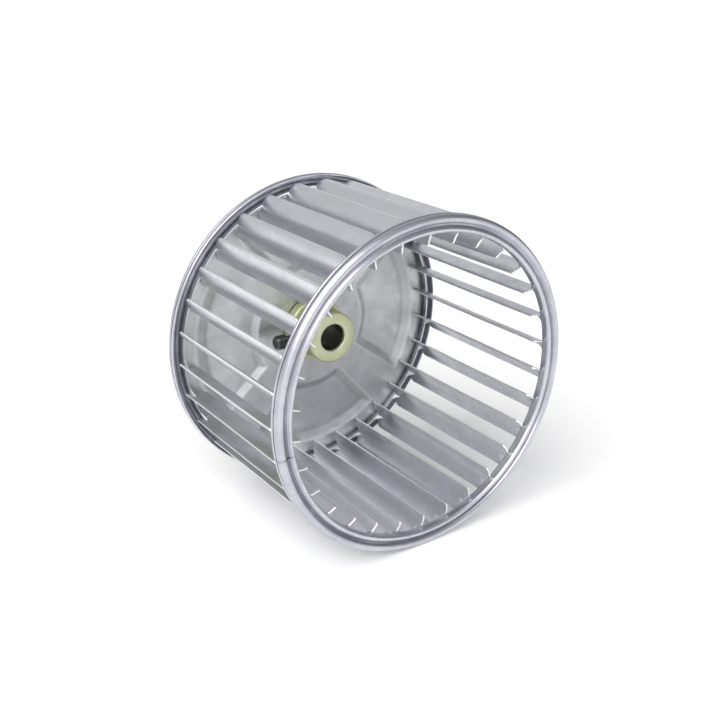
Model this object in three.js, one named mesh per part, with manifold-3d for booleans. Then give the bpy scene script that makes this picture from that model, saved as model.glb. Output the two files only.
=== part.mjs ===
// Centrifugal blower wheel: a sheet-steel drum of forward-curved blades between two rolled
// rings, closed at the motor side by a pressed disc that carries a machined hub.
// Millimetres, +Z up. The wheel turns about the Y axis, its inlet faces -Y and its motor side
// faces +Y. The origin is on the axis, halfway along the drum.
import * as THREE from 'three';
import { mergeVertices } from 'three/addons/utils/BufferGeometryUtils.js';
import Module from 'manifold-3d';

const wasm = await Module();
wasm.setup();

// Driving dimensions
const WHEEL_RADIUS = 73.025;
const WHEEL_WIDTH = 95.25;
const BORE_RADIUS = 6.35;
const SHEET = 0.8;
const GAP = 0.3;

const BLADE_COUNT = 30;
const BLADE_INNER_RADIUS = 60.5;
const BLADE_OUTER_RADIUS = 71.3;
const BLADE_STAGGER = 36;
const BLADE_CAMBER = 0.13;
const BLADE_PHASE = 6.7;
const BAND_RADIUS = 67.1;
const BAND_HIDDEN_EDGE = 2.3;
const BAND_EDGE = 5.6;
const BAND_SEGMENTS = 60;

const RING_SEGMENTS = 64;
const RING_WALL = 0.9;
const RING_DEPTH = 4.6;
const RING_INNER_RADIUS = 65.7;
const RING_LIP_DEPTH = 3.8;

const DISC_RADIUS = 66.8;
const DISC_INSET = 2.6;
const PAD_COUNT = 4;
const PAD_PHASE = 1.5;
const PAD_DEPTH = 1.6;
const PAD_INNER_RADIUS = 28.8;
const PAD_OUTER_RADIUS = 60.4;
const PAD_INNER_WALL = 3.2;
const PAD_FLANK_WALL = 4.0;
const PAD_OUTER_WALL = 5.6;
const PAD_CORNER = 3.0;
const PAD_CORNER_STEPS = 3;
const PAD_ARC_STEPS = 10;
const SPOKE_ROOT = 4.1;
const SPOKE_TAPER = 0.1;

const HUB_RADIUS = 12.1;
const HUB_LENGTH = 21.9;
const COLLAR_RADIUS = 15;
const COLLAR_LENGTH = 5;
const TAIL_RADIUS = 9.5;
const STAKE_RADIUS = 11.3;
const HUB_BACK_INSET = 0.5;
const HUB_CHAMFER = 0.5;
const HUB_SEGMENTS = 48;

const SCREW_RADIUS = 2.4;
const SCREW_INSET = 13.1;
const SCREW_TIP = 6.6;
const SCREW_SHOULDER = 20.0;
const SCREW_HEAD_LENGTH = 6.0;
const SCREW_HEAD_ACROSS = 5.4;
const SCREW_SEGMENTS = 24;

const INLET_Y = -WHEEL_WIDTH / 2;
const BACK_Y = WHEEL_WIDTH / 2;

const rad = THREE.MathUtils.degToRad;

// Point at a radius and an angle round the axis, counted from +X towards +Z.
function polar(radius, degrees) {
  return new THREE.Vector2(radius * Math.cos(rad(degrees)), radius * Math.sin(rad(degrees)));
}

// Closed geometry to manifold solid, without the flat triangles that a turned body has on its
// axis, and back to a geometry.
function solid(geometry) {
  const bare = geometry.clone();
  bare.deleteAttribute('normal');
  bare.deleteAttribute('uv');
  const merged = mergeVertices(bare, 1e-5);
  const vertProperties = new Float32Array(merged.attributes.position.array);
  const corners = merged.index.array;
  const kept = [];
  for (let i = 0; i < corners.length; i += 3) {
    const [a, b, c] = [corners[i], corners[i + 1], corners[i + 2]];
    if (a !== b && b !== c && c !== a) {
      kept.push(a, b, c);
    }
  }
  const triVerts = new Uint32Array(kept);
  return new wasm.Manifold(new wasm.Mesh({ numProp: 3, vertProperties, triVerts }));
}

function geometryOf(manifold) {
  const mesh = manifold.getMesh();
  const geometry = new THREE.BufferGeometry();
  geometry.setAttribute('position', new THREE.BufferAttribute(mesh.vertProperties, 3));
  geometry.setIndex(new THREE.BufferAttribute(mesh.triVerts, 1));
  return geometry;
}

// Turned body about Y from a closed outline of [radius, y] points, in either winding.
function turned(outline, segments) {
  const points = outline.map(([radius, y]) => new THREE.Vector2(radius, y));
  if (THREE.ShapeUtils.area(points) < 0) {
    points.reverse();
  }
  points.push(points[0].clone());
  return solid(new THREE.LatheGeometry(points, segments));
}

// Prism between two outlines of equal point count in the XZ plane, from y0 to the higher y1.
// The outlines run counterclockwise, seen from -Y.
function prism(outline0, y0, outline1, y1) {
  const count = outline0.length;
  const vertices = [];
  outline0.forEach((p) => vertices.push(p.x, y0, p.y));
  outline1.forEach((p) => vertices.push(p.x, y1, p.y));
  const caps = THREE.ShapeUtils.triangulateShape(outline0, []);
  const index = [];
  caps.forEach(([a, b, c]) => {
    index.push(a, b, c);
    index.push(a + count, c + count, b + count);
  });
  for (let i = 0; i < count; i += 1) {
    const j = (i + 1) % count;
    index.push(i, i + count, j + count);
    index.push(i, j + count, j);
  }
  const geometry = new THREE.BufferGeometry();
  geometry.setAttribute('position', new THREE.Float32BufferAttribute(vertices, 3));
  geometry.setIndex(index);
  return solid(geometry);
}

// Rolled rings. Both have the same end face: an outer bead, a shallow groove and an inner bead,
// folded from one sheet. Depths are measured inwards from the end plane of the wheel.
const RING_FACE = [
  [WHEEL_RADIUS, 1.7],
  [WHEEL_RADIUS - 0.35, 0.7],
  [WHEEL_RADIUS - 1.2, 0.1],
  [WHEEL_RADIUS - 2.3, 0],
  [WHEEL_RADIUS - 3.2, 0.4],
  [WHEEL_RADIUS - 3.8, 1.0],
  [WHEEL_RADIUS - 4.6, 1.0],
  [WHEEL_RADIUS - 5.2, 0.3],
  [WHEEL_RADIUS - 6.1, 0],
  [WHEEL_RADIUS - 6.9, 0.25],
];

const RING_CHANNEL = [
  [WHEEL_RADIUS - 5.6, 1.3],
  [WHEEL_RADIUS - 5.0, 1.9],
  [WHEEL_RADIUS - 3.4, 1.9],
  [WHEEL_RADIUS - 2.6, 1.0],
  [WHEEL_RADIUS - 1.5, 1.1],
  [WHEEL_RADIUS - RING_WALL, 1.9],
  [WHEEL_RADIUS - RING_WALL, RING_DEPTH],
];

function ring(innerEdge, endY, inwards) {
  const outline = [[WHEEL_RADIUS, RING_DEPTH], ...RING_FACE, ...innerEdge, ...RING_CHANNEL];
  return turned(outline.map(([radius, depth]) => [radius, endY + inwards * depth]), RING_SEGMENTS);
}

function inletRing() {
  const lip = [
    [RING_INNER_RADIUS, 0.9],
    [RING_INNER_RADIUS, RING_LIP_DEPTH],
    [RING_INNER_RADIUS + RING_WALL, RING_LIP_DEPTH],
    [RING_INNER_RADIUS + RING_WALL, 1.6],
  ];
  return ring(lip, INLET_Y, 1);
}

function backRing() {
  const lip = [
    [RING_INNER_RADIUS - 0.4, 0.5],
    [RING_INNER_RADIUS - 0.4, DISC_INSET - SHEET - GAP],
  ];
  return ring(lip, BACK_Y, -1);
}

// Blades. The section runs from the inner edge to the outer edge on a shallow arc that starts
// nearly radial and leans over clockwise, seen from the inlet.
const BLADE_CHORD = (() => {
  const lean = Math.cos(rad(BLADE_STAGGER)) * BLADE_INNER_RADIUS;
  return -lean + Math.sqrt(lean ** 2 + BLADE_OUTER_RADIUS ** 2 - BLADE_INNER_RADIUS ** 2);
})();

function bladeCentre(t) {
  const along = polar(1, -BLADE_STAGGER);
  const across = new THREE.Vector2(-along.y, along.x);
  return new THREE.Vector2(BLADE_INNER_RADIUS, 0)
    .addScaledVector(along, BLADE_CHORD * t)
    .addScaledVector(across, BLADE_CHORD * BLADE_CAMBER * 4 * t * (1 - t));
}

function bladeNormal(t) {
  const step = 0.01;
  const ahead = bladeCentre(t + step).sub(bladeCentre(t - step)).normalize();
  return new THREE.Vector2(-ahead.y, ahead.x);
}

// Fraction of the chord at which the section reaches a radius.
function chordAt(radius) {
  let low = 0;
  let high = 1;
  for (let i = 0; i < 40; i += 1) {
    const middle = (low + high) / 2;
    if (bladeCentre(middle).length() < radius) {
      low = middle;
    } else {
      high = middle;
    }
  }
  return low;
}

// How far the blade's end stays from the end plane of the wheel, by radius. The inner corner is
// rounded off, the middle clears the lip of the ring and the band, and the outer corner is cut.
const BLADE_END = [
  [BLADE_INNER_RADIUS, 5.0],
  [61.1, 3.7],
  [62.1, 3.1],
  [64.6, 3.1],
  [65.3, 4.4],
  [BAND_RADIUS - 0.8, BAND_EDGE + GAP],
  [69.2, BAND_EDGE + GAP],
  [70.4, 7.0],
  [BLADE_OUTER_RADIUS, 9.0],
];

// Columns across the blade, as the chord fraction and the inset of both ends.
function bladeColumns() {
  return BLADE_END.map(([radius, inset]) => [chordAt(radius), inset]);
}

function blade() {
  const vertices = [];
  const columns = bladeColumns();
  columns.forEach(([t, inset]) => {
    const centre = bladeCentre(t);
    const offset = bladeNormal(t).multiplyScalar(SHEET / 2);
    [-1, 1].forEach((side) => {
      const x = centre.x + side * offset.x;
      const z = centre.y + side * offset.y;
      vertices.push(x, INLET_Y + inset, z);
      vertices.push(x, BACK_Y - inset, z);
    });
  });
  const index = [];
  const quad = (a, b, c, d) => index.push(a, c, b, a, d, c);
  for (let i = 0; i < columns.length - 1; i += 1) {
    const p = 4 * i;
    const q = p + 4;
    quad(p, q, q + 1, p + 1);
    quad(p + 2, p + 3, q + 3, q + 2);
    quad(p, p + 2, q + 2, q);
    quad(p + 1, q + 1, q + 3, p + 3);
  }
  const last = 4 * (columns.length - 1);
  quad(0, 1, 3, 2);
  quad(last, last + 2, last + 3, last + 1);
  const geometry = new THREE.BufferGeometry();
  geometry.setAttribute('position', new THREE.Float32BufferAttribute(vertices, 3));
  geometry.setIndex(index);
  return solid(geometry);
}

// Uncut margin of the blade sheet at one end of the drum: a band that the ring is rolled over.
function band(hiddenY, edgeY) {
  return turned([
    [BAND_RADIUS, hiddenY],
    [BAND_RADIUS + SHEET, hiddenY],
    [BAND_RADIUS + SHEET, edgeY],
    [BAND_RADIUS, edgeY],
  ], BAND_SEGMENTS);
}

function bladeAngle(i) {
  return BLADE_PHASE + (360 * i) / BLADE_COUNT;
}

// Outline of one pressed pad of the disc, an annular sector between two spokes. At share 0 it is
// the mouth of the pressing and at share 1 its floor.
function padOutline(centreAngle, share) {
  const inner = PAD_INNER_RADIUS + PAD_INNER_WALL * share;
  const outer = PAD_OUTER_RADIUS - PAD_OUTER_WALL * share;
  const root = SPOKE_ROOT + PAD_FLANK_WALL * share;
  const half = 180 / PAD_COUNT;
  const along = polar(1, half);
  const aside = polar(1, half - 90);
  const flankAt = (radius) => {
    const square = 1 + SPOKE_TAPER ** 2;
    const cross = SPOKE_TAPER * root;
    const reach = (Math.sqrt(cross ** 2 + square * (radius ** 2 - root ** 2)) - cross) / square;
    return along.clone().multiplyScalar(reach).addScaledVector(aside, root + SPOKE_TAPER * reach);
  };
  const innerCorner = flankAt(inner);
  const outerCorner = flankAt(outer);
  const flank = outerCorner.clone().sub(innerCorner).normalize();
  const angleOf = (p) => THREE.MathUtils.radToDeg(p.angle());
  const innerHalf = angleOf(innerCorner) - THREE.MathUtils.radToDeg(PAD_CORNER / inner);
  const outerHalf = angleOf(outerCorner) - THREE.MathUtils.radToDeg(PAD_CORNER / outer);
  const upper = [];
  const round = (start, at, end) => {
    for (let i = 0; i <= PAD_CORNER_STEPS; i += 1) {
      const t = i / PAD_CORNER_STEPS;
      const a = start.clone().lerp(at, t);
      const b = at.clone().lerp(end, t);
      upper.push(a.lerp(b, t));
    }
  };
  const fromInner = innerCorner.clone().addScaledVector(flank, PAD_CORNER);
  const toOuter = outerCorner.clone().addScaledVector(flank, -PAD_CORNER);
  round(polar(inner, innerHalf), innerCorner, fromInner);
  round(toOuter, outerCorner, polar(outer, outerHalf));
  const outline = [...upper];
  for (let i = 1; i < PAD_ARC_STEPS; i += 1) {
    outline.push(polar(outer, outerHalf * (1 - (2 * i) / PAD_ARC_STEPS)));
  }
  [...upper].reverse().forEach((p) => outline.push(new THREE.Vector2(p.x, -p.y)));
  for (let i = 1; i < PAD_ARC_STEPS; i += 1) {
    outline.push(polar(inner, innerHalf * ((2 * i) / PAD_ARC_STEPS - 1)));
  }
  outline.reverse();
  return outline.map((p) => p.rotateAround(new THREE.Vector2(), rad(centreAngle)));
}

function backDisc() {
  const frontY = BACK_Y - DISC_INSET;
  const backY = frontY + SHEET;
  const holeRadius = TAIL_RADIUS + GAP;
  const plate = [
    [holeRadius, frontY],
    [DISC_RADIUS, frontY],
    [DISC_RADIUS, backY],
    [holeRadius, backY],
  ];
  let disc = turned(plate, RING_SEGMENTS);
  for (let i = 0; i < PAD_COUNT; i += 1) {
    const angle = PAD_PHASE + (360 * i) / PAD_COUNT;
    const mouth = padOutline(angle, 0);
    const floor = padOutline(angle, 1);
    const tray = prism(mouth, backY - 0.01, floor, backY + PAD_DEPTH);
    const pressing = prism(mouth, frontY, floor, frontY + PAD_DEPTH);
    const opening = prism(mouth, frontY - 1, mouth, frontY);
    disc = disc.add(tray).subtract(pressing).subtract(opening);
  }
  return disc;
}

function hub() {
  const faceY = BACK_Y - HUB_LENGTH;
  const seatY = BACK_Y - DISC_INSET - GAP;
  const collarY = seatY - COLLAR_LENGTH;
  const stakeY = BACK_Y - DISC_INSET + SHEET + GAP;
  const rearY = BACK_Y - HUB_BACK_INSET;
  const body = turned([
    [BORE_RADIUS, faceY + HUB_CHAMFER],
    [BORE_RADIUS + HUB_CHAMFER, faceY],
    [HUB_RADIUS - HUB_CHAMFER, faceY],
    [HUB_RADIUS, faceY + HUB_CHAMFER],
    [HUB_RADIUS, collarY],
    [COLLAR_RADIUS - HUB_CHAMFER, collarY],
    [COLLAR_RADIUS, collarY + HUB_CHAMFER],
    [COLLAR_RADIUS, seatY],
    [TAIL_RADIUS, seatY],
    [TAIL_RADIUS, stakeY],
    [STAKE_RADIUS, stakeY],
    [STAKE_RADIUS - HUB_CHAMFER, rearY],
    [BORE_RADIUS + HUB_CHAMFER, rearY],
    [BORE_RADIUS, rearY - HUB_CHAMFER],
  ], HUB_SEGMENTS);
  const tapRadius = SCREW_RADIUS + GAP;
  const tap = new THREE.CylinderGeometry(tapRadius, tapRadius, HUB_RADIUS, SCREW_SEGMENTS);
  tap.rotateZ(Math.PI / 2);
  tap.translate(-HUB_RADIUS, BACK_Y - SCREW_INSET, 0);
  return body.subtract(solid(tap));
}

// Square-headed set screw, made along Y with its point at the origin, then laid along -X.
function setScrew() {
  const shankLength = SCREW_SHOULDER - SCREW_TIP;
  const headEnd = shankLength + SCREW_HEAD_LENGTH;
  const shank = turned([
    [0, 0.6],
    [1.3, 0],
    [SCREW_RADIUS, 1.2],
    [SCREW_RADIUS, shankLength + 1],
    [0, shankLength + 1],
  ], SCREW_SEGMENTS);
  const corner = SCREW_HEAD_ACROSS / Math.SQRT2;
  const flats = new THREE.CylinderGeometry(corner, corner, SCREW_HEAD_LENGTH, 4);
  flats.rotateY(Math.PI / 4);
  flats.translate(0, shankLength + SCREW_HEAD_LENGTH / 2, 0);
  const crown = turned([
    [0, shankLength - 1],
    [corner + 1, shankLength - 1],
    [corner + 1, headEnd - 1.4],
    [SCREW_HEAD_ACROSS / 2 - 0.3, headEnd],
    [0, headEnd],
  ], SCREW_SEGMENTS);
  const screw = geometryOf(solid(flats).intersect(crown).add(shank));
  screw.rotateZ(Math.PI / 2);
  screw.translate(-SCREW_TIP, BACK_Y - SCREW_INSET, 0);
  return screw;
}

const finishes = {
  zinc: { color: 0xc8c9d1, roughness: 0.34, metalness: 0.9 },
  disc: { color: 0xa8abb0, roughness: 0.4, metalness: 0.85 },
  hub: { color: 0xa9ae82, roughness: 0.42, metalness: 0.7 },
  screw: { color: 0x1d1f20, roughness: 0.5, metalness: 0.6 },
};

const wheel = new THREE.Group();

function addPart(name, geometry, finish) {
  const mesh = new THREE.Mesh(geometry, new THREE.MeshStandardMaterial(finishes[finish]));
  mesh.name = name;
  wheel.add(mesh);
  return mesh;
}

addPart('inlet_ring', geometryOf(inletRing()), 'zinc');
addPart('back_ring', geometryOf(backRing()), 'zinc');
addPart('back_disc', geometryOf(backDisc()), 'disc');
addPart('hub', geometryOf(hub()), 'hub');
addPart('set_screw', setScrew(), 'screw');

addPart('inlet_band', geometryOf(band(INLET_Y + BAND_HIDDEN_EDGE, INLET_Y + BAND_EDGE)), 'zinc');
addPart('back_band', geometryOf(band(BACK_Y - BAND_HIDDEN_EDGE, BACK_Y - BAND_EDGE)), 'zinc');

const bladeGeometry = geometryOf(blade());
for (let i = 0; i < BLADE_COUNT; i += 1) {
  const name = `blade_${String(i + 1).padStart(2, '0')}`;
  const piece = addPart(name, bladeGeometry, 'zinc');
  piece.rotation.y = -rad(bladeAngle(i));
}

export default wheel;
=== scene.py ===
"""Blower wheel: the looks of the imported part.

Metres, in the CAD frame: the wheel turns about Y, its inlet faces -Y, its motor side faces +Y, +Z is
up, and the origin is on the axis, halfway along the drum. Angles round the axis run from +X towards
+Z. The wheel stands on its two rings on a pale floor.
"""
import math
import random

import bpy
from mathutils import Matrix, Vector, noise


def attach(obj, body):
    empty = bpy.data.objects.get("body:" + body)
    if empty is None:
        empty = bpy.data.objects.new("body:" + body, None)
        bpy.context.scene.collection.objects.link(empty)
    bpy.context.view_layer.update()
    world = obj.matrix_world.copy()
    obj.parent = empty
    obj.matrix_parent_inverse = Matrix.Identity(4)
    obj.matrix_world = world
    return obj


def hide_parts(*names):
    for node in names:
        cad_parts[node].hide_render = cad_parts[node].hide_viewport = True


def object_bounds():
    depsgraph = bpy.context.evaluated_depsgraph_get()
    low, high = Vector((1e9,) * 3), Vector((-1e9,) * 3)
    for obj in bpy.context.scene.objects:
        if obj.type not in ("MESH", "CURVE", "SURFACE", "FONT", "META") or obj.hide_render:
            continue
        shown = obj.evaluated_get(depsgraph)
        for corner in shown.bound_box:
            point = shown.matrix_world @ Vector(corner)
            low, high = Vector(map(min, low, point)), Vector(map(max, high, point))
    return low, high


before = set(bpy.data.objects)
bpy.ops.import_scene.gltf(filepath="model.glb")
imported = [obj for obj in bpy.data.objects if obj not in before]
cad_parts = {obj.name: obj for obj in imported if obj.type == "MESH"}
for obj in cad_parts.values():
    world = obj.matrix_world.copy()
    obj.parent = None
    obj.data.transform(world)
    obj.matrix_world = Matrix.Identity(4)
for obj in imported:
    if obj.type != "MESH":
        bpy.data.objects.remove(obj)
cad_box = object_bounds()

MM = 0.001
TAU = 2 * math.pi

# The wheel's own measures, from the CAD box and the CAD source.
RADIUS = (cad_box[1][0] - cad_box[0][0]) / 2
INLET_Y = cad_box[0][1]
BACK_Y = cad_box[1][1]
SHEET = 0.8 * MM

BLADE_COUNT = 30
BLADE_INNER_RADIUS = 60.5 * MM
BLADE_OUTER_RADIUS = 71.3 * MM
BLADE_STAGGER = math.radians(36)
BLADE_CAMBER = 0.13
BLADE_PHASE = 6.7  # degrees
BAND_RADIUS = 67.1 * MM
BAND_HIDDEN_EDGE = 2.3 * MM
BAND_EDGE = 5.6 * MM

DISC_RADIUS = 66.8 * MM
DISC_INSET = 2.6 * MM
DISC_HOLE_RADIUS = 9.8 * MM
PAD_COUNT = 4
PAD_PHASE = 1.5  # degrees
PAD_DEPTH = 1.6 * MM
PAD_INNER_RADIUS = 28.8 * MM
PAD_OUTER_RADIUS = 60.4 * MM
PAD_INNER_WALL = 3.2 * MM
PAD_FLANK_WALL = 4.0 * MM
PAD_OUTER_WALL = 5.6 * MM
SPOKE_ROOT = 4.1 * MM
SPOKE_TAPER = 0.1

BORE_RADIUS = 6.35 * MM
HUB_RADIUS = 12.1 * MM
HUB_FACE_Y = BACK_Y - 21.9 * MM
HUB_REAR_Y = BACK_Y - 0.5 * MM
HUB_SEAT_Y = BACK_Y - DISC_INSET - 0.3 * MM
COLLAR_RADIUS = 15 * MM
COLLAR_LENGTH = 5 * MM
NECK_RADIUS = 9.5 * MM
STAKE_Y = BACK_Y - DISC_INSET + 1.1 * MM
STAKE_RADIUS = 11.3 * MM
REAR_FACE_RADIUS = 10.8 * MM
SCREW_RADIUS = 2.4 * MM
SCREW_Y = BACK_Y - 13.1 * MM
SCREW_TIP = 6.6 * MM
SCREW_SHOULDER = 20.0 * MM
SCREW_HEAD_ACROSS = 5.4 * MM
SCREW_PITCH = 1.0 * MM
TAP_RADIUS = SCREW_RADIUS + 0.12 * MM

# How finely the pieces are divided.
RING_SEGMENTS = 360
BAND_SEGMENTS = 240
BLADE_STATIONS = 26
DISC_SEGMENTS = 600
HUB_SEGMENTS = 128
SCREW_SEGMENTS = 64
TAP_SEGMENTS = 48


def smoothstep(low, high, value):
    t = min(max((value - low) / (high - low), 0.0), 1.0)
    return t * t * (3 - 2 * t)


def on_axis(radius, angle, y):
    """Point at a radius and an angle round the wheel's axis."""
    return Vector((radius * math.cos(angle), y, radius * math.sin(angle)))


def even_angles(count):
    return [TAU * i / count for i in range(count)]


def towards(azimuth, elevation):
    """Direction from the wheel to a viewer or a lamp. Azimuth 0 is on the inlet side."""
    az, el = math.radians(azimuth), math.radians(elevation)
    return Vector((math.sin(az) * math.cos(el), -math.cos(az) * math.cos(el), math.sin(el)))


# ---------------------------------------------------------------------------------------------------
# Meshes
# ---------------------------------------------------------------------------------------------------

class Sheet:
    """A mesh in the making: vertices with wear_and_highlight and shade_and_grime, faces, and a flat
    map in metres.
    """

    def __init__(self):
        self.points = []
        self.wear_and_highlight = []
        self.shade_and_grime = []
        self.flat = []
        self.faces = []

    def add(self, point, wear_and_highlight=0.0, shade_and_grime=0.0, flat=(0.0, 0.0)):
        self.points.append(tuple(point))
        self.wear_and_highlight.append(wear_and_highlight)
        self.shade_and_grime.append(shade_and_grime)
        self.flat.append(flat)
        return len(self.points) - 1

    def loops(self, rows, close_rows=False):
        """Quads between closed rows of equal length, one after another."""
        count = len(rows)
        width = len(rows[0])
        for i in range(count if close_rows else count - 1):
            a, b = rows[i], rows[(i + 1) % count]
            for j in range(width):
                k = (j + 1) % width
                self.faces.append((a[j], a[k], b[k], b[j]))

    def cap(self, rows):
        """Close both ends of a stack of rows, each with one face."""
        self.faces.append(tuple(rows[0]))
        self.faces.append(tuple(reversed(rows[-1])))

    def build(self, name, body, replaced, material, sharp=34):
        mesh = bpy.data.meshes.new(name)
        mesh.from_pydata(self.points, [], self.faces)
        for label, values in (("wear_and_highlight", self.wear_and_highlight), ("shade_and_grime", self.shade_and_grime)):
            layer = mesh.attributes.new(label, "FLOAT", "POINT")
            layer.data.foreach_set("value", values)
        flat = mesh.uv_layers.new(name="flat")
        for loop in mesh.loops:
            flat.data[loop.index].uv = self.flat[loop.vertex_index]
        mesh.update()
        mesh.shade_smooth()
        mesh.set_sharp_from_angle(angle=math.radians(sharp))
        mesh.materials.append(material)
        obj = bpy.data.objects.new(name, mesh)
        bpy.context.scene.collection.objects.link(obj)
        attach(obj, body)
        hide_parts(*replaced)
        return obj


def rounded(outline, radius, steps=4):
    """Closed outline of (radius, y, wear_and_highlight, shade_and_grime), with each corner cut back
    to a short curve.
    """
    longest_cut = 0.42  # share of the side beside the corner
    result = []
    count = len(outline)
    for i in range(count):
        before, at, after = outline[i - 1], outline[i], outline[(i + 1) % count]
        p, q, r = (Vector(v[:2]) for v in (before, at, after))
        cut_in = min(radius, longest_cut * (q - p).length)
        cut_out = min(radius, longest_cut * (r - q).length)
        start = q + (p - q).normalized() * cut_in
        end = q + (r - q).normalized() * cut_out
        for k in range(steps + 1):
            t = k / steps
            point = start.lerp(q, t).lerp(q.lerp(end, t), t)
            result.append((point.x, point.y, at[2], at[3]))
    return result


def turned(name, outline, angles, replaced, material, wobble=None, sharp=34):
    """Piece of the wheel turned about Y from a closed outline of (radius, y, wear_and_highlight,
    shade_and_grime).
    """
    sheet = Sheet()
    rows = []
    for angle in angles:
        row = []
        length = 0.0
        last = outline[0]
        for radius, y, wear_and_highlight, shade_and_grime in outline:
            length += math.hypot(radius - last[0], y - last[1])
            last = (radius, y)
            dr, dy, extra = wobble(angle, radius, y) if wobble else (0.0, 0.0, 0.0)
            row.append(sheet.add(on_axis(radius + dr, angle, y + dy), wear_and_highlight, shade_and_grime + extra,
                                 (angle * RADIUS, length)))
        rows.append(row)
    sheet.loops(rows, close_rows=True)
    return sheet.build(name, "wheel", replaced, material, sharp)


# ---------------------------------------------------------------------------------------------------
# Materials
# ---------------------------------------------------------------------------------------------------

class Shader:
    """A Principled material whose colour, roughness and bump come from nodes."""

    # The colour sockets of a Mix node, which has others of the same names.
    MIX_A, MIX_B, MIX_RESULT = 6, 7, 2

    def __init__(self, name, metallic, specular=0.5):
        self.material = bpy.data.materials.new(name)
        self.material.use_nodes = True
        self.tree = self.material.node_tree
        self.tree.nodes.clear()
        output = self.tree.nodes.new("ShaderNodeOutputMaterial")
        self.surface = self.tree.nodes.new("ShaderNodeBsdfPrincipled")
        self.surface.inputs["Metallic"].default_value = metallic
        self.surface.inputs["Specular IOR Level"].default_value = specular
        self.link(self.surface.outputs["BSDF"], output.inputs["Surface"])
        self.position = self.tree.nodes.new("ShaderNodeTexCoord").outputs["Object"]
        flat = self.tree.nodes.new("ShaderNodeUVMap")
        flat.uv_map = "flat"
        self.flat = flat.outputs["UV"]

    def link(self, source, target):
        self.tree.links.new(source, target)

    def value(self, label):
        node = self.tree.nodes.new("ShaderNodeAttribute")
        node.attribute_name = label
        return node.outputs["Fac"]

    def scaled(self, source, scale):
        node = self.tree.nodes.new("ShaderNodeMapping")
        node.inputs["Scale"].default_value = scale
        self.link(source, node.inputs["Vector"])
        return node.outputs["Vector"]

    def noise(self, source, scale, detail, rough):
        node = self.tree.nodes.new("ShaderNodeTexNoise")
        node.inputs["Scale"].default_value = scale
        node.inputs["Detail"].default_value = detail
        node.inputs["Roughness"].default_value = rough
        self.link(source, node.inputs["Vector"])
        return node.outputs["Fac"]

    def cells(self, source, scale):
        """A random value for each crystal of the zinc."""
        node = self.tree.nodes.new("ShaderNodeTexVoronoi")
        node.inputs["Scale"].default_value = scale
        self.link(source, node.inputs["Vector"])
        split = self.tree.nodes.new("ShaderNodeSeparateColor")
        self.link(node.outputs["Color"], split.inputs["Color"])
        return split.outputs["Red"]

    def ranged(self, source, low, high, to_low, to_high):
        node = self.tree.nodes.new("ShaderNodeMapRange")
        node.inputs["From Min"].default_value = low
        node.inputs["From Max"].default_value = high
        node.inputs["To Min"].default_value = to_low
        node.inputs["To Max"].default_value = to_high
        self.link(source, node.inputs["Value"])
        return node.outputs["Result"]

    def math(self, operation, a, b):
        node = self.tree.nodes.new("ShaderNodeMath")
        node.operation = operation
        for socket, source in zip(node.inputs, (a, b)):
            if isinstance(source, (int, float)):
                socket.default_value = source
            else:
                self.link(source, socket)
        return node.outputs["Value"]

    def mix(self, factor, a, b):
        node = self.tree.nodes.new("ShaderNodeMix")
        node.data_type = "RGBA"
        sockets = (node.inputs["Factor"], node.inputs[self.MIX_A], node.inputs[self.MIX_B])
        for socket, source in zip(sockets, (factor, a, b)):
            if isinstance(source, tuple):
                socket.default_value = (*source, 1.0)
            else:
                self.link(source, socket)
        return node.outputs[self.MIX_RESULT]

    def bump(self, height, strength, distance, under=None):
        node = self.tree.nodes.new("ShaderNodeBump")
        node.inputs["Strength"].default_value = strength
        node.inputs["Distance"].default_value = distance
        self.link(height, node.inputs["Height"])
        if under is not None:
            self.link(under, node.inputs["Normal"])
        return node.outputs["Normal"]

    def finish(self, colour, roughness, normal):
        self.link(colour, self.surface.inputs["Base Color"])
        self.link(roughness, self.surface.inputs["Roughness"])
        self.link(normal, self.surface.inputs["Normal"])
        return self.material


def zinc(name, light, dark, edge, shade_and_grime, rough, spangle, streaks):
    """Galvanised sheet: cloudy tone, crystals, rolling streaks, bright cut edges and dull seams,
    with painted shade in grooves and corners and a painted highlight on the disc pads' brows.
    """
    s = Shader(name, 1.0)
    cloud = s.noise(s.position, 45, 5, 0.6)
    fine = s.noise(s.position, 900, 3, 0.6)
    crystal = s.cells(s.position, 260)
    streak = s.noise(s.scaled(s.flat, streaks), 1, 4, 0.6)

    tone = s.math("ADD", s.ranged(cloud, 0.3, 0.7, 0.0, 0.6),
                  s.ranged(crystal, 0, 1, -spangle, spangle))
    tone = s.math("ADD", tone, s.ranged(streak, 0.3, 0.7, 0.0, 0.4))
    colour = s.mix(tone, light, dark)
    speck = s.ranged(s.noise(s.position, 1500, 2, 0.5), 0.68, 0.76, 0.0, 0.35)
    colour = s.mix(speck, colour, shade_and_grime)
    # The shade_and_grime channel darkens the ring seams, and paints shade into grooves, corners and
    # hidden places, mottled by the cloud noise.
    shade_and_dirt = s.math("MULTIPLY", s.value("shade_and_grime"), s.ranged(cloud, 0.25, 0.6, 0.65, 1.0))
    colour = s.mix(shade_and_dirt, colour, shade_and_grime)
    # The wear_and_highlight channel brightens worn cut edges, and paints a highlight on the brows of
    # the disc pads.
    worn = s.math("MULTIPLY", s.value("wear_and_highlight"), s.ranged(fine, 0.3, 0.6, 0.5, 1.0))
    colour = s.mix(worn, colour, edge)

    roughness = s.math("ADD", s.ranged(cloud, 0.3, 0.7, rough[0], rough[1]),
                       s.ranged(streak, 0.3, 0.7, -0.05, 0.07))
    roughness = s.math("ADD", roughness, s.ranged(crystal, 0, 1, -0.03, 0.03))
    roughness = s.math("ADD", roughness, s.math("MULTIPLY", s.value("shade_and_grime"), 0.2))

    normal = s.bump(s.noise(s.position, 120, 3, 0.5), 0.35, 0.0002)
    normal = s.bump(streak, 0.25, 0.00004, normal)
    normal = s.bump(fine, 0.3, 0.00002, normal)
    return s.finish(colour, roughness, normal)


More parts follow.
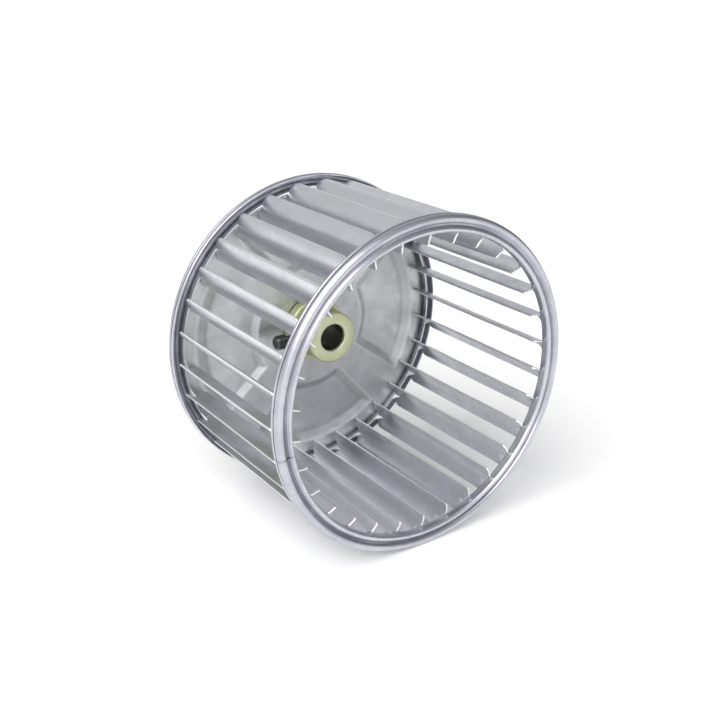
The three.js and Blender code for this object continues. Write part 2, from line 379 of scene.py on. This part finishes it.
def passivated():
    """Yellow passivated zinc on a turned hub: olive to straw, with tool marks round the axis."""
    s = Shader("olive zinc", 0.75)
    cloud = s.noise(s.position, 160, 4, 0.6)
    fine = s.noise(s.position, 1400, 3, 0.6)
    tool_marks = s.noise(s.scaled(s.flat, (8, 9000, 1)), 1, 2, 0.5)

    colour = s.mix(s.ranged(cloud, 0.3, 0.7, 0, 1), (0.57, 0.60, 0.33), (0.42, 0.46, 0.22))
    colour = s.mix(s.ranged(tool_marks, 0.4, 0.75, 0, 0.35), colour, (0.58, 0.58, 0.40))
    # Painted shade: the shade_and_grime channel darkens the bore nearly to black, and the corners by
    # the collar, seat and neck.
    colour = s.mix(s.math("MULTIPLY", s.value("shade_and_grime"), 0.62), colour, (0.022, 0.026, 0.018))
    colour = s.mix(s.math("MULTIPLY", s.value("wear_and_highlight"), 0.6), colour, (0.68, 0.69, 0.58))

    roughness = s.math("ADD", s.ranged(cloud, 0.3, 0.7, 0.36, 0.5),
                       s.ranged(fine, 0.3, 0.7, -0.04, 0.06))

    normal = s.bump(tool_marks, 0.35, 0.00003)
    normal = s.bump(fine, 0.25, 0.00002, normal)
    return s.finish(colour, roughness, normal)


def blackened():
    """Black oxide on the set screw, rubbed grey on its corners."""
    s = Shader("black oxide", 0.8)
    cloud = s.noise(s.position, 500, 4, 0.6)
    fine = s.noise(s.position, 3000, 3, 0.6)
    colour = s.mix(s.ranged(cloud, 0.35, 0.7, 0, 1), (0.022, 0.023, 0.026), (0.05, 0.05, 0.052))
    worn = s.math("MULTIPLY", s.value("wear_and_highlight"), s.ranged(fine, 0.35, 0.6, 0.2, 1.0))
    colour = s.mix(worn, colour, (0.28, 0.28, 0.29))
    return s.finish(colour, s.ranged(cloud, 0.3, 0.7, 0.34, 0.5), s.bump(fine, 0.3, 0.00003))


ring_zinc = zinc("ring zinc", light=(0.60, 0.60, 0.66), dark=(0.36, 0.36, 0.43),
                 edge=(0.84, 0.84, 0.87), shade_and_grime=(0.09, 0.09, 0.11),
                 rough=(0.26, 0.42), spangle=0.12, streaks=(30, 2600, 1))
blade_zinc = zinc("blade zinc", light=(0.86, 0.865, 0.90), dark=(0.68, 0.685, 0.72),
                  edge=(0.93, 0.93, 0.94), shade_and_grime=(0.06, 0.06, 0.07),
                  rough=(0.30, 0.44), spangle=0.12, streaks=(400, 24, 1))
disc_zinc = zinc("disc zinc", light=(0.60, 0.605, 0.62), dark=(0.44, 0.445, 0.46),
                 edge=(0.93, 0.93, 0.94), shade_and_grime=(0.12, 0.12, 0.13),
                 rough=(0.34, 0.50), spangle=0.14, streaks=(60, 60, 1))
hub_finish = passivated()
screw_finish = blackened()

# ---------------------------------------------------------------------------------------------------
# Rings
# ---------------------------------------------------------------------------------------------------

# A ring's outline, in millimetres: (inwards from the rim, depth from the end plane,
# wear_and_highlight, shade_and_grime); the last column is painted shade.
# Round the outside, a hem at the free edge and a shallow groove beside it.
RING_WALL = (
    (0.0, 4.6, 0.6, 0.0),
    (0.0, 3.6, 0.4, 0.0),
    (0.4, 3.3, 0.0, 0.9),
    (0.4, 2.8, 0.0, 0.9),
    (0.0, 2.4, 0.3, 0.0),
)
# Across the face, two beads with a groove between them, darkened with painted shade.
RING_FACE = (
    (0.0, 1.5, 0.1, 0.0),
    (0.35, 0.7, 0.2, 0.0),
    (1.2, 0.1, 0.35, 0.0),
    (2.3, 0.0, 0.3, 0.0),
    (3.2, 0.4, 0.0, 0.1),
    (3.8, 1.0, 0.0, 0.8),
    (4.6, 1.0, 0.0, 0.9),
    (5.2, 0.3, 0.1, 0.2),
    (6.1, 0.0, 0.5, 0.0),
    (6.9, 0.25, 0.3, 0.0),
)
# The inner edge: turned far inwards at the inlet, short at the back, where the disc is.
INLET_LIP = (
    (7.325, 0.9, 0.1, 0.0),
    (7.325, 3.8, 0.4, 0.0),
    (6.425, 3.8, 0.2, 0.0),
    (6.425, 1.6, 0.0, 0.2),
)
BACK_LIP = (
    (7.725, 0.5, 0.2, 0.0),
    (7.725, 1.5, 0.2, 0.1),
)
# The hidden side, back to the hem, darkened with painted shade.
RING_CHANNEL = (
    (5.6, 1.3, 0.0, 0.4),
    (5.0, 1.9, 0.0, 0.6),
    (3.4, 1.9, 0.0, 0.6),
    (2.6, 1.0, 0.0, 0.4),
    (1.5, 1.1, 0.0, 0.4),
    (0.9, 1.9, 0.0, 0.3),
    (0.9, 4.6, 0.3, 0.0),
)
# Extra stations on both sides of the seam, in millimetres.
SEAM_STATIONS = (-0.8, -0.45, -0.2, 0.2, 0.45, 0.8)
SEAM_DENT = 0.12 * MM


def rolled_ring(name, node, end_y, inwards, lip, seam, seed):
    """Rolled ring whose ends butt at the seam angle, slightly wavy from the rolling."""
    stations = even_angles(RING_SEGMENTS)
    for step in SEAM_STATIONS:
        stations.append((seam + step * MM / RADIUS) % TAU)

    def wobble(angle, radius, y):
        """(outwards, along the axis, shade_and_grime) to add at a place: a dark seam, and less
        painted shade in the groove towards the top. It only ever moves the wall in.
        """
        place = Vector((math.cos(angle) * 2.2, math.sin(angle) * 2.2, seed))
        wave = noise.noise(place) * 0.10 * MM
        ripple = noise.noise(place * 7 + Vector((0, 0, y * 180))) * 0.035 * MM
        from_seam = abs((angle - seam + math.pi) % TAU - math.pi) * RADIUS
        slit = 1 - smoothstep(0.15 * MM, 0.6 * MM, from_seam)
        across = RADIUS - radius
        held = 1.0 if across < 0.3 * MM else 0.6
        in_groove = 3.3 * MM < across < 5.1 * MM and abs(y - end_y) < 1.3 * MM
        # The groove's painted shade is lighter towards the top.
        lighter_top = 0.32 * (1 + math.sin(angle)) if in_groove else 0.0
        return (held * min(wave + ripple - 0.14 * MM, 0.0) - SEAM_DENT * slit,
                inwards * (0.05 * MM + SEAM_DENT * slit),
                0.7 * slit - lighter_top)

    outline = [(RADIUS - a * MM, end_y + inwards * b * MM, wear_and_highlight, shade_and_grime)
               for a, b, wear_and_highlight, shade_and_grime in RING_WALL + RING_FACE + lip + RING_CHANNEL]
    turned(name, rounded(outline, 0.5 * MM), sorted(set(stations)), [node],
           ring_zinc, wobble, sharp=50)


rolled_ring("inlet_ring_rolled", "inlet_ring", INLET_Y, 1, INLET_LIP, math.radians(189.5), 1.7)
rolled_ring("back_ring_rolled", "back_ring", BACK_Y, -1, BACK_LIP, math.radians(251), 5.3)

# ---------------------------------------------------------------------------------------------------
# Blades and the bands they are folded out of
# ---------------------------------------------------------------------------------------------------

LEAN = math.cos(BLADE_STAGGER) * BLADE_INNER_RADIUS
BLADE_CHORD = -LEAN + math.sqrt(LEAN ** 2 + BLADE_OUTER_RADIUS ** 2 - BLADE_INNER_RADIUS ** 2)

# How far the blade's end stays from the end plane, in millimetres: (radius, inset).
BLADE_END = ((60.5, 4.2), (60.75, 3.5), (61.2, 3.1), (65.0, 3.1), (65.5, 4.4), (66.3, 5.4),
             (69.2, 5.6), (70.4, 6.6), (71.0, 7.8), (71.3, 9.0))
BLADE_COLUMN_STEP = 0.5

# The blade's rounded ends: (share of the thickness, drawn in from the end in millimetres).
BLADE_TIP = ((0.45, 0.0), (0.8, 0.07), (1.0, 0.22), (1.0, 0.6))
BLADE_EDGE_THICKNESS = 0.45

# The most by which one blade differs from the next.
BLADE_BOW = 0.22 * MM
BLADE_TWIST = 1.1  # degrees
BLADE_LEAN = 0.8  # degrees


def blade_centre(t):
    """Point on the blade's middle line at a share of its chord, for a blade at angle 0."""
    along = Vector((math.cos(BLADE_STAGGER), -math.sin(BLADE_STAGGER)))
    across = Vector((-along.y, along.x))
    return Vector((BLADE_INNER_RADIUS, 0)) + BLADE_CHORD * (
        t * along + BLADE_CAMBER * 4 * t * (1 - t) * across)


def blade_normal(t):
    ahead = (blade_centre(t + 0.01) - blade_centre(t - 0.01)).normalized()
    return Vector((-ahead.y, ahead.x))


def chord_at(radius):
    """Share of the chord at which the blade reaches a radius."""
    low, high = 0.0, 1.0
    for _ in range(40):
        middle = (low + high) / 2
        if blade_centre(middle).length < radius:
            low = middle
        else:
            high = middle
    return low


def blade_columns():
    """(share of the chord, end inset) across the blade."""
    columns = []
    for (r0, inset0), (r1, inset1) in zip(BLADE_END, BLADE_END[1:]):
        parts = max(1, round((r1 - r0) / BLADE_COLUMN_STEP))
        for i in range(parts):
            share = i / parts
            columns.append((chord_at((r0 + (r1 - r0) * share) * MM),
                            (inset0 + (inset1 - inset0) * share) * MM))
    columns.append((1.0, BLADE_END[-1][1] * MM))
    return columns


COLUMNS = blade_columns()


def web(sheet, angle, end_y, inwards, reach, depth):
    """Small triangle of uncut sheet in the corner between a blade and the band."""
    fold = blade_centre(chord_at(BAND_RADIUS + SHEET / 2))
    start = math.atan2(fold.y, fold.x) + angle
    corners = []
    for radius in (BAND_RADIUS + 0.1 * MM, BAND_RADIUS + 0.7 * MM):
        for turn, inset in ((0.3 * MM, BAND_EDGE - 0.3 * MM),
                            (-reach, BAND_EDGE - 0.3 * MM),
                            (-0.6 * reach, BAND_EDGE + 0.15 * depth),
                            (0.0, BAND_EDGE + depth)):
            point = on_axis(radius, start + turn / RADIUS, end_y + inwards * inset)
            corners.append(sheet.add(point, 0.35, 0.0, (turn, inset)))
    for i in range(4):
        j = (i + 1) % 4
        sheet.faces.append((corners[i], corners[j], corners[4 + j], corners[4 + i]))
    sheet.faces.append(tuple(corners[3::-1]))
    sheet.faces.append(tuple(corners[4:]))


def blade(index):
    """Curved blade with rounded, worn edges. Each one is bent a little differently."""
    dice = random.Random(400 + index)
    angle = math.radians(BLADE_PHASE + 360 * index / BLADE_COUNT)
    bow = dice.uniform(-BLADE_BOW, BLADE_BOW)
    twist = dice.uniform(-BLADE_TWIST, BLADE_TWIST)
    lean = dice.uniform(-BLADE_LEAN, BLADE_LEAN)
    hinge = blade_centre(0.75)
    cos_a, sin_a = math.cos(angle), math.sin(angle)
    sheet = Sheet()

    # Stations along the blade: (share of the length, share of the thickness, drawn in).
    stations = [(0.0, thickness, drawn * MM) for thickness, drawn in BLADE_TIP]
    stations += [(i / BLADE_STATIONS, 1.0, 0.0) for i in range(1, BLADE_STATIONS)]
    stations += [(1.0, thickness, -drawn * MM) for thickness, drawn in reversed(BLADE_TIP)]

    last = len(COLUMNS) - 1
    rows = []
    for share, thickness, drawn in stations:
        middle = math.sin(math.pi * share)
        turn = math.radians(lean * middle + twist * (share - 0.5) * middle)
        at_end = share in (0.0, 1.0) and abs(drawn) < 0.3 * MM
        row = []
        for side in (1, -1):
            order = range(last + 1) if side == 1 else range(last, -1, -1)
            for j in order:
                t, inset = COLUMNS[j]
                at_edge = j in (0, last)
                half = side * SHEET / 2 * thickness * (BLADE_EDGE_THICKNESS if at_edge else 1.0)
                y0, y1 = INLET_Y + inset, BACK_Y - inset
                y = y0 + (y1 - y0) * share + drawn
                p = blade_centre(t)
                if j == last:
                    p = p - (blade_centre(1.0) - blade_centre(0.98)).normalized() * 0.05 * MM
                n = blade_normal(min(max(t, 0.01), 0.99))
                ripple = noise.noise(Vector((t * 3, y * 60, index * 3.7))) * 0.10 * MM * middle
                p = p + n * (half + bow * middle + ripple)
                d = p - hinge
                p = hinge + Vector((d.x * math.cos(turn) - d.y * math.sin(turn),
                                    d.x * math.sin(turn) + d.y * math.cos(turn)))
                wear_and_highlight = 1.0 if at_edge or at_end else 0.0
                # Painted shade: darker towards the outer edge near both ends, in the corner by the
                # band and ring.
                near_end = 1 - smoothstep(0, 0.06, min(share, 1 - share))
                shade_and_grime = 0.35 * smoothstep(0.8, 1.0, t) * near_end
                row.append(sheet.add((p.x * cos_a - p.y * sin_a, y, p.x * sin_a + p.y * cos_a),
                                     wear_and_highlight, shade_and_grime, (t * BLADE_CHORD + index * 0.05, y)))
        rows.append(row)
    sheet.loops(rows)
    width = last + 1
    for row, flip in ((rows[0], True), (rows[-1], False)):
        for j in range(last):
            quad = (row[j], row[j + 1], row[2 * width - 2 - j], row[2 * width - 1 - j])
            sheet.faces.append(quad if not flip else quad[::-1])
    web(sheet, angle, INLET_Y, 1, dice.uniform(4.0, 5.5) * MM, dice.uniform(3.0, 5.0) * MM)
    web(sheet, angle, BACK_Y, -1, dice.uniform(4.0, 5.5) * MM, dice.uniform(3.0, 5.5) * MM)
    name = f"blade_{index + 1:02d}"
    sheet.build(f"{name}_sheet", "wheel", [name], blade_zinc, sharp=60)


def band(node, end_y, inwards):
    """Margin of the lanced sheet, with its hidden edge in the ring."""
    # Painted shade on the edge hidden in the ring and on the inner side of the free edge.
    outline = [(BAND_RADIUS + a * SHEET, end_y + inwards * b, wear_and_highlight, shade_and_grime)
               for a, b, wear_and_highlight, shade_and_grime in ((0, BAND_HIDDEN_EDGE, 0.0, 1.0),
                                         (1, BAND_HIDDEN_EDGE, 0.0, 0.9),
                                         (1, 4.2 * MM, 0.0, 0.3),
                                         (1, BAND_EDGE, 0.6, 0.0),
                                         (0, BAND_EDGE, 0.2, 0.7))]
    turned(f"{node}_rolled", rounded(outline, 0.15 * MM, 2), even_angles(BAND_SEGMENTS), [node],
           blade_zinc)


for index in range(BLADE_COUNT):
    blade(index)
band("inlet_band", INLET_Y, 1)
band("back_band", BACK_Y, -1)

# ---------------------------------------------------------------------------------------------------
# Back disc
# ---------------------------------------------------------------------------------------------------

DISC_THICKNESS = SHEET - 0.12 * MM
DISC_EDGE_ROUNDING = 0.15 * MM
PAD_BEND = 0.14
PAD_CORNER_SOFTNESS = 0.12


def soft_step(share):
    """0 to 1 in a straight ramp whose two bends are slightly rounded."""
    t = min(max(share, -PAD_BEND), 1 + PAD_BEND)
    if t < PAD_BEND:
        return (t + PAD_BEND) ** 2 / (4 * PAD_BEND)
    if t > 1 - PAD_BEND:
        return 1 - (1 + PAD_BEND - t) ** 2 / (4 * PAD_BEND)
    return t


def pad_sink(radius, angle):
    """How far the disc is pressed back at a place, and the share of a wall's brow and foot there."""
    pitch = TAU / PAD_COUNT
    local = abs((angle - math.radians(PAD_PHASE) + pitch / 2) % pitch - pitch / 2)
    along = radius * math.cos(pitch / 2 - local)
    aside = radius * math.sin(pitch / 2 - local)
    shares = ((radius - PAD_INNER_RADIUS) / PAD_INNER_WALL,
              (PAD_OUTER_RADIUS - radius) / PAD_OUTER_WALL,
              (aside - SPOKE_ROOT - SPOKE_TAPER * along) / PAD_FLANK_WALL)
    # The walls meet in rounded corners: a soft minimum of the three shares.
    k = PAD_CORNER_SOFTNESS
    share = -k * math.log(sum(math.exp(min(-v / k, 60)) for v in shares))
    # The brow gets a painted highlight and the foot painted shade.
    brow = smoothstep(-0.25, 0.0, share) * (1 - smoothstep(0.05, 0.35, share))
    foot = smoothstep(0.7, 0.95, share) * (1 - smoothstep(1.0, 1.35, share))
    return PAD_DEPTH * soft_step(share), brow, foot


def disc_radii():
    """Stations from the hole to the rim: coarse inside and outside the pads, fine across them."""
    radii = [DISC_HOLE_RADIUS + 0.1 * MM, DISC_HOLE_RADIUS + 0.5 * MM]
    radii += [12 * MM + i * 1.6 * MM for i in range(9)]
    while radii[-1] < 62.0 * MM:
        radii.append(radii[-1] + 0.62 * MM)
    radii += [63 * MM, 64.5 * MM, 65.8 * MM, DISC_RADIUS - 0.25 * MM, DISC_RADIUS - 0.03 * MM]
    return radii


def back_disc():
    """Slightly dished sheet with four pressed pads. It is thinner along its edges, as if rounded."""
    front_y = BACK_Y - DISC_INSET
    radii = disc_radii()
    sheet = Sheet()
    rows = []
    for angle in even_angles(DISC_SEGMENTS):
        row = []
        flat = (math.cos(angle), math.sin(angle))
        for back in (False, True):
            for radius in (radii[::-1] if back else radii):
                sink, brow, foot = pad_sink(radius, angle)
                dish = noise.noise(Vector((flat[0] * radius * 30, flat[1] * radius * 30, 2.2)))
                sink += (0.10 + 0.10 * dish) * MM
                end = radius > DISC_RADIUS - 0.1 * MM or radius < DISC_HOLE_RADIUS + 0.2 * MM
                thick = DISC_THICKNESS - (2 * DISC_EDGE_ROUNDING if end else 0.0)
                y = front_y + sink
                y += (DISC_EDGE_ROUNDING if end and not back else 0.0) + (thick if back else 0.0)
                # Painted highlight on each pad wall's brow and painted shade along its foot; the rim
                # and hole edges are worn bright.
                row.append(sheet.add(on_axis(radius, angle, y), 0.35 * brow + (0.5 if end else 0.0),
                                     0.22 * foot, (flat[0] * radius, flat[1] * radius)))
        rows.append(row)
    sheet.loops(rows, close_rows=True)
    sheet.build("back_disc_pressed", "wheel", ["back_disc"], disc_zinc, sharp=60)


back_disc()

# ---------------------------------------------------------------------------------------------------
# Hub and set screw
# ---------------------------------------------------------------------------------------------------

# The crowned square head, in millimetres: (height above the shoulder, largest radius).
SCREW_HEAD = ((0.0, 2.9), (0.25, 3.3), (0.5, 9.0), (2.2, 9.0), (3.8, 9.0), (4.6, 9.0), (4.95, 3.35),
              (5.4, 3.05), (5.75, 2.7), (5.92, 2.3), (5.98, 1.6), (5.99, 0.2))
THREAD_DEPTH = 0.45 * MM


def hub():
    """Turned hub with a collar in front of the disc and a staked end behind it."""
    collar_y = HUB_SEAT_Y - COLLAR_LENGTH
    # Painted shade: this length of the bore at each end is painted nearly black, and the corners by
    # the collar, seat and neck darker.
    bore_dark = 2.4 * MM
    c = 0.5 * MM
    outline = [
        (BORE_RADIUS, HUB_FACE_Y + bore_dark, 0.0, 1.6),
        (BORE_RADIUS, HUB_FACE_Y + c, 0.2, 0.75),
        (BORE_RADIUS + c, HUB_FACE_Y, 0.8, 0.0),
        (HUB_RADIUS - c, HUB_FACE_Y, 0.4, 0.0),
        (HUB_RADIUS, HUB_FACE_Y + c, 0.5, 0.0),
        (HUB_RADIUS, collar_y, 0.0, 0.7),
        (COLLAR_RADIUS - c, collar_y, 0.4, 0.0),
        (COLLAR_RADIUS, collar_y + c, 0.4, 0.0),
        (COLLAR_RADIUS, HUB_SEAT_Y, 0.0, 0.4),
        (NECK_RADIUS, HUB_SEAT_Y, 0.0, 0.4),
        (NECK_RADIUS, STAKE_Y, 0.0, 0.4),
        (STAKE_RADIUS, STAKE_Y, 0.2, 0.2),
        (REAR_FACE_RADIUS, HUB_REAR_Y, 0.5, 0.0),
        (BORE_RADIUS + c, HUB_REAR_Y, 0.7, 0.0),
        (BORE_RADIUS, HUB_REAR_Y - c, 0.2, 0.75),
        (BORE_RADIUS, HUB_REAR_Y - bore_dark, 0.0, 1.6),
    ]
    body = turned("hub_turned", rounded(outline, 0.18 * MM, 2), even_angles(HUB_SEGMENTS), ["hub"],
                  hub_finish, sharp=40)

    # The tapped hole is cut with a boolean whose result is kept as the mesh.
    tap = Sheet()
    rows = [[tap.add((x, SCREW_Y + TAP_RADIUS * math.cos(angle), TAP_RADIUS * math.sin(angle)))
             for angle in even_angles(TAP_SEGMENTS)]
            for x in (-HUB_RADIUS * 1.5, -HUB_RADIUS * 0.5 + 0.4 * MM)]
    tap.loops(rows)
    tap.cap(rows)
    cutter_mesh = bpy.data.meshes.new("tap")
    cutter_mesh.from_pydata(tap.points, [], [face[::-1] for face in tap.faces])
    cutter = bpy.data.objects.new("tap", cutter_mesh)
    bpy.context.scene.collection.objects.link(cutter)
    cut = body.modifiers.new("tap", "BOOLEAN")
    cut.operation = "DIFFERENCE"
    cut.solver = "EXACT"
    cut.object = cutter
    bpy.context.view_layer.update()
    depsgraph = bpy.context.evaluated_depsgraph_get()
    result = bpy.data.meshes.new_from_object(body.evaluated_get(depsgraph))
    body.modifiers.clear()
    body.data = result
    bpy.data.objects.remove(cutter)


def ridge_at(x, angle):
    """0 at the crest of the screw's thread, 1 at its root."""
    return abs(2 * ((x / SCREW_PITCH + angle / TAU) % 1.0) - 1)


def off_flat(angle):
    """Angle from the middle of the nearest flat of the screw's square head."""
    return (angle + math.pi / 4) % (math.pi / 2) - math.pi / 4


def set_screw():
    """Square-headed screw along -X: rolled thread, plain neck and a crowned head."""
    sheet = Sheet()
    rows = []

    def row(x, radius_at, wear_at=lambda angle: 0.0):
        ring = []
        for angle in even_angles(SCREW_SEGMENTS):
            radius = radius_at(angle)
            ring.append(sheet.add((-x, SCREW_Y + radius * math.cos(angle), radius * math.sin(angle)),
                                  wear_at(angle), 0.0, (angle * radius, x)))
        rows.append(ring)

    def plain(x, radius):
        row(x, lambda angle: radius)

    def threaded(x):
        row(x,
            lambda angle: (SCREW_RADIUS - 0.05 * MM
                           - THREAD_DEPTH * smoothstep(0.1, 0.9, ridge_at(x, angle))),
            lambda angle: 0.5 * (1 - smoothstep(0.0, 0.35, ridge_at(x, angle))))

    def headed(height, limit):
        half = SCREW_HEAD_ACROSS / 2 - 0.04 * MM
        corner = half * math.sqrt(2) - 0.28 * MM
        crown = smoothstep(4.8, 5.5, height) * (1 - smoothstep(5.8, 6.0, height))
        row(SCREW_SHOULDER + height * MM,
            lambda angle: min(half / math.cos(off_flat(angle)), corner, limit * MM),
            lambda angle: max(0.8 * smoothstep(0.62, 0.76, abs(off_flat(angle))), 0.5 * crown))

    plain(SCREW_TIP + 0.05 * MM, 0.3 * MM)
    plain(SCREW_TIP + 0.05 * MM, 1.2 * MM)
    x = SCREW_TIP + 0.9 * MM
    while x < SCREW_SHOULDER - 0.6 * MM:
        threaded(x)
        x += SCREW_PITCH / 10
    plain(SCREW_SHOULDER - 0.4 * MM, SCREW_RADIUS - THREAD_DEPTH)
    plain(SCREW_SHOULDER - 0.02 * MM, SCREW_RADIUS - THREAD_DEPTH)
    for height, limit in SCREW_HEAD:
        headed(height, limit)
    sheet.loops(rows)
    sheet.cap(rows)
    sheet.build("set_screw_threaded", "screw", ["set_screw"], screw_finish, sharp=32)


hub()
set_screw()

# ---------------------------------------------------------------------------------------------------
# Floor, light and camera
# ---------------------------------------------------------------------------------------------------

FLOOR_INNER, FLOOR_OUTER = 0.05, 9.0
FLOOR_SEGMENTS, FLOOR_RINGS = 64, 24

# Places are in degrees round the wheel and above it, and the distance is in wheel radii.
CAMERA_AZIMUTH, CAMERA_ELEVATION, CAMERA_DISTANCE = -34.77, 21.95, 6.2655
LOOK_AZIMUTH, LOOK_ELEVATION = -34.66, 22.40
SENSOR_WIDTH, LENS = 36, 51.08


def floor():
    """Pale matt floor that the wheel stands on."""
    mesh = bpy.data.meshes.new("floor")
    points = [(0, 0, 0)]
    faces = []
    for i in range(FLOOR_RINGS):
        radius = FLOOR_INNER * (FLOOR_OUTER / FLOOR_INNER) ** (i / (FLOOR_RINGS - 1))
        for angle in even_angles(FLOOR_SEGMENTS):
            points.append((radius * math.cos(angle), radius * math.sin(angle), 0))
    for j in range(FLOOR_SEGMENTS):
        k = (j + 1) % FLOOR_SEGMENTS
        faces.append((0, 1 + j, 1 + k))
        for i in range(FLOOR_RINGS - 1):
            a = 1 + i * FLOOR_SEGMENTS
            b = a + FLOOR_SEGMENTS
            faces.append((a + j, b + j, b + k, a + k))
    mesh.from_pydata(points, [], faces)
    s = Shader("floor", 0.0, 0.2)
    soft = s.noise(s.position, 6, 3, 0.5)
    grain = s.noise(s.position, 800, 2, 0.5)
    colour = s.mix(soft, (0.93, 0.93, 0.935), (0.95, 0.95, 0.95))
    mesh.materials.append(s.finish(colour, s.ranged(grain, 0.3, 0.7, 0.75, 0.9),
                                   s.bump(grain, 0.1, 0.00005)))
    obj = bpy.data.objects.new("floor", mesh)
    obj.location = (0, 0, cad_box[0][2] - 0.0001)
    bpy.context.scene.collection.objects.link(obj)


def sun_light(name, azimuth, elevation, spread, strength, colour):
    """Even light from a broad patch of the sky. Azimuth 0 shines along +Y."""
    data = bpy.data.lights.new(name, "SUN")
    data.angle = math.radians(spread)
    data.energy = strength
    data.color = colour
    lamp = bpy.data.objects.new(name, data)
    lamp.rotation_euler = (-towards(azimuth, elevation)).to_track_quat("-Z", "Y").to_euler()
    bpy.context.scene.collection.objects.link(lamp)


def studio():
    """A pale room that is brighter on the left, where the windows are, and three soft lights."""
    world = bpy.data.worlds.new("studio")
    world.use_nodes = True
    tree = world.node_tree
    background = tree.nodes["Background"]
    background.inputs["Color"].default_value = (0.98, 0.985, 1.0, 1.0)
    direction = tree.nodes.new("ShaderNodeSeparateXYZ")
    place = tree.nodes.new("ShaderNodeTexCoord").outputs["Generated"]
    tree.links.new(place, direction.inputs["Vector"])
    strength = tree.nodes.new("ShaderNodeMapRange")
    strength.inputs["From Min"].default_value = -0.9
    strength.inputs["From Max"].default_value = 0.9
    strength.inputs["To Min"].default_value = 0.70
    strength.inputs["To Max"].default_value = 0.22
    tree.links.new(direction.outputs["X"], strength.inputs["Value"])
    tree.links.new(strength.outputs["Result"], background.inputs["Strength"])
    bpy.context.scene.world = world
    sun_light("key", -66, 50, 50, 2.2, (1.0, 0.99, 0.975))
    sun_light("front", -18, 26, 40, 1.3, (0.98, 0.985, 1.0))
    sun_light("back", 145, 28, 60, 0.25, (0.97, 0.98, 1.0))


def camera():
    """View from the inlet side, to the left and above, looking a little off the wheel's centre."""
    data = bpy.data.cameras.new("camera")
    data.sensor_width = SENSOR_WIDTH
    data.lens = LENS
    data.clip_start = 0.01
    data.clip_end = 50
    cam = bpy.data.objects.new("camera", data)
    centre = (Vector(cad_box[0]) + Vector(cad_box[1])) / 2
    cam.location = centre + towards(CAMERA_AZIMUTH, CAMERA_ELEVATION) * CAMERA_DISTANCE * RADIUS
    look = -towards(LOOK_AZIMUTH, LOOK_ELEVATION)
    cam.rotation_euler = look.to_track_quat("-Z", "Y").to_euler()
    bpy.context.scene.collection.objects.link(cam)
    bpy.context.scene.camera = cam


floor()
studio()
camera()

scene = bpy.context.scene
scene.view_settings.view_transform = "Standard"
scene.view_settings.look = "None"
